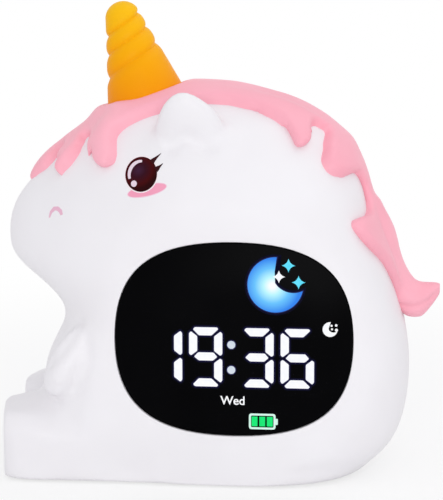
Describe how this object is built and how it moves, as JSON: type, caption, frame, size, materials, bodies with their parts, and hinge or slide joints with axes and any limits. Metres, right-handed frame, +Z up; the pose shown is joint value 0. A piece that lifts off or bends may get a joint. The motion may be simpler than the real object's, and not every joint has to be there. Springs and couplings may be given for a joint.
{
  "type": "kids digital alarm clock",
  "caption": "Sitting unicorn alarm clock with an oval smoked display window, a raised mane, a spiral horn, and push buttons on a panel at the back.",
  "frame": {"origin": "on the table, under the middle of the clock's overall box", "axes": "+Z up, muzzle towards -X, display flank towards -Y, button panel towards +Y"},
  "size_m": [0.1432, 0.08, 0.1539],
  "materials": {
    "body_white": "soft satin moulding",
    "mane_pink": "soft satin moulding",
    "horn_yellow": "satin moulding",
    "button_pink": "satin moulding",
    "smoked_lens": "polished smoked acrylic",
    "black_tape": "adhesive foam tape",
    "reflector_black": "moulded",
    "diffuser_white": "milky clear",
    "led_white": "moulded",
    "board_green": "solder mask",
    "switch_black": "moulded",
    "socket_steel": "plated",
    "speaker_steel": "pressed",
    "speaker_paper": "matt",
    "speaker_ferrite": "sintered",
    "cell_sleeve": "shrink sleeve",
    "cradle_black": "moulded",
    "screw_steel": "zinc plated",
    "foot_rubber": "matt"
  },
  "bodies": {
    "case": {"front_shell": "body_white", "rear_shell": "body_white", "horn": "horn_yellow", "horn_screw": "screw_steel", "mane": "mane_pink", "display_window": "smoked_lens", "window_tape": "black_tape", "led_reflector": "reflector_black", "digit_segments": "diffuser_white", "display_leds": "led_white", "led_board": "board_green", "back_panel": "body_white", "main_board": "board_green", "tact_switches": "switch_black", "switch_case": "switch_black", "usb_socket": "socket_steel", "speaker_frame": "speaker_steel", "speaker_cone": "speaker_paper", "speaker_magnet": "speaker_ferrite", "battery": "cell_sleeve", "battery_cradle": "cradle_black", "night_light_board": "board_green", "night_light_leds": "led_white", "case_screws": "screw_steel", "panel_screws": "screw_steel", "board_screws": "screw_steel", "rubber_feet": "foot_rubber"},
    "button_set": {"button_set": "button_pink"},
    "button_alarm": {"button_alarm": "button_pink"},
    "button_up": {"button_up": "button_pink"},
    "button_down": {"button_down": "button_pink"},
    "button_light": {"button_light": "button_pink"},
    "button_sound": {"button_sound": "button_pink"},
    "power_switch": {"power_switch": "switch_black"}
  },
  "joints": [
    {"name": "press_set", "type": "slide", "parent": "case", "child": "button_set", "axis": [0, -1, 0], "range_m": [0, 0.0008], "stiffness_N_per_m": 400},
    {"name": "press_alarm", "type": "slide", "parent": "case", "child": "button_alarm", "axis": [0, -1, 0], "range_m": [0, 0.0008], "stiffness_N_per_m": 400},
    {"name": "press_up", "type": "slide", "parent": "case", "child": "button_up", "axis": [0, -1, 0], "range_m": [0, 0.0008], "stiffness_N_per_m": 400},
    {"name": "press_down", "type": "slide", "parent": "case", "child": "button_down", "axis": [0, -1, 0], "range_m": [0, 0.0008], "stiffness_N_per_m": 400},
    {"name": "press_light", "type": "slide", "parent": "case", "child": "button_light", "axis": [0, -1, 0], "range_m": [0, 0.0008], "stiffness_N_per_m": 400},
    {"name": "press_sound", "type": "slide", "parent": "case", "child": "button_sound", "axis": [0, -1, 0], "range_m": [0, 0.0008], "stiffness_N_per_m": 400},
    {"name": "slide_power", "type": "slide", "parent": "case", "child": "power_switch", "axis": [-1, 0, 0], "range_m": [0, 0.003]}
  ]
}
